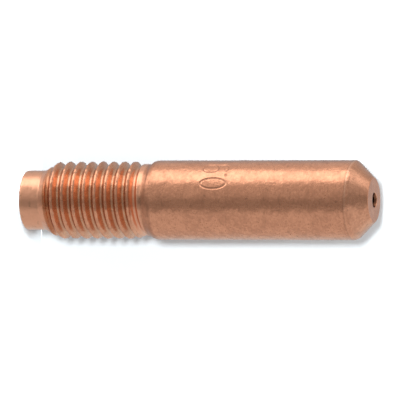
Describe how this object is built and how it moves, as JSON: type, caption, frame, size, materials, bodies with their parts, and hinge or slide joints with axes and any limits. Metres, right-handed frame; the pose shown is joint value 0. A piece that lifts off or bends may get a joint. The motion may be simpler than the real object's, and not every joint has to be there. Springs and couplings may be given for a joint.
{
  "type": "welding contact tip",
  "caption": "Turned copper contact tip that guides the wire of a welding torch: threaded rear end with a plain pilot, chamfered shoulder, long plain barrel, conical nose and a small through bore",
  "frame": {"origin": "centre of the flat rear face, which the tip stands on", "axes": "+Z along the bore from the rear face to the nose, +X at the side where the last full turn of the thread ends"},
  "size_m": [0.0062, 0.0062, 0.0286],
  "materials": {
    "copper": "bare copper, satin from turning and tumbling, a little dulled"
  },
  "bodies": {
    "root": {"contact_tip": "copper"}
  },
  "joints": []
}
